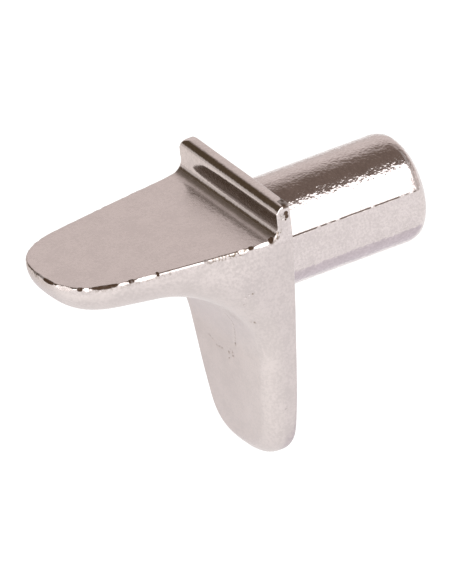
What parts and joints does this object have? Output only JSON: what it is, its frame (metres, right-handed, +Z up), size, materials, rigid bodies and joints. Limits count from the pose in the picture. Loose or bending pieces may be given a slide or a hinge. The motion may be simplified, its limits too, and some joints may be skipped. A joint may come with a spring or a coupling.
{
  "type": "shelf support pin",
  "caption": "One-piece metal shelf support: a round pin for a hole in a cabinet's side, a tapered tongue under the shelf, a low lip behind it and a leg down the cabinet's side.",
  "frame": {"origin": "the pin's axis at the back face of the plate", "axes": "+Y out along the pin, into the cabinet's side; the tongue reaches towards -Y; +Z up; X across the tongue, with X = 0 the plane of symmetry"},
  "size_m": [0.0084, 0.0183, 0.0135],
  "materials": {
    "nickel_plate": "bright nickel plate over a die casting, satin on the tongue's top"
  },
  "bodies": {
    "root": {"shelf_support_pin": "nickel_plate"}
  },
  "joints": []
}
